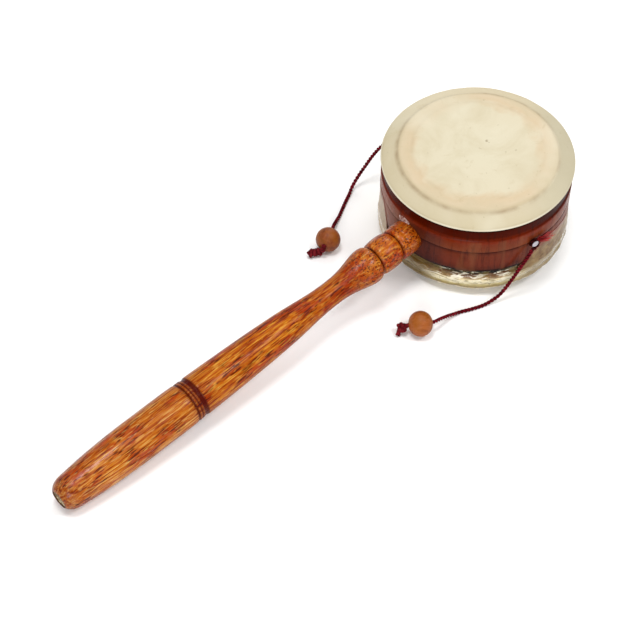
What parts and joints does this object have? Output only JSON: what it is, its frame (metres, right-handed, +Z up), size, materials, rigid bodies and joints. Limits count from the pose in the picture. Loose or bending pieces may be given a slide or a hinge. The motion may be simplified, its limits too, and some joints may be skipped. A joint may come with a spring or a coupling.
{
  "type": "handled rattle drum",
  "caption": "Shallow two-headed rattle drum on a turned wooden handle, with corded striker beads that swing against its rawhide heads.",
  "frame": {"origin": "bottom centre of the drum and handle as they lie on a level surface, without the cords", "axes": "+X from the handle's butt towards the drum, +Z up, +Y to the left of the handle seen from the butt"},
  "size_m": [0.3256, 0.1139, 0.0624],
  "materials": {
    "shell_wood": "gloss lacquer",
    "rawhide": "matte",
    "lower_rawhide": "gloss varnish",
    "handle_wood": "satin varnish",
    "nail": "polished",
    "cord": "matte",
    "bead_wood": "satin"
  },
  "bodies": {
    "root": {"drum_shell": "shell_wood", "drumhead_top": "rawhide", "drumhead_bottom": "lower_rawhide", "handle": "handle_wood", "nail_right": "nail", "nail_left": "nail", "hitch_right": "cord", "hitch_left": "cord", "cord_right": "cord", "cord_left": "cord", "bead_right": "bead_wood", "bead_left": "bead_wood", "knot_right": "cord", "knot_left": "cord"}
  },
  "joints": []
}
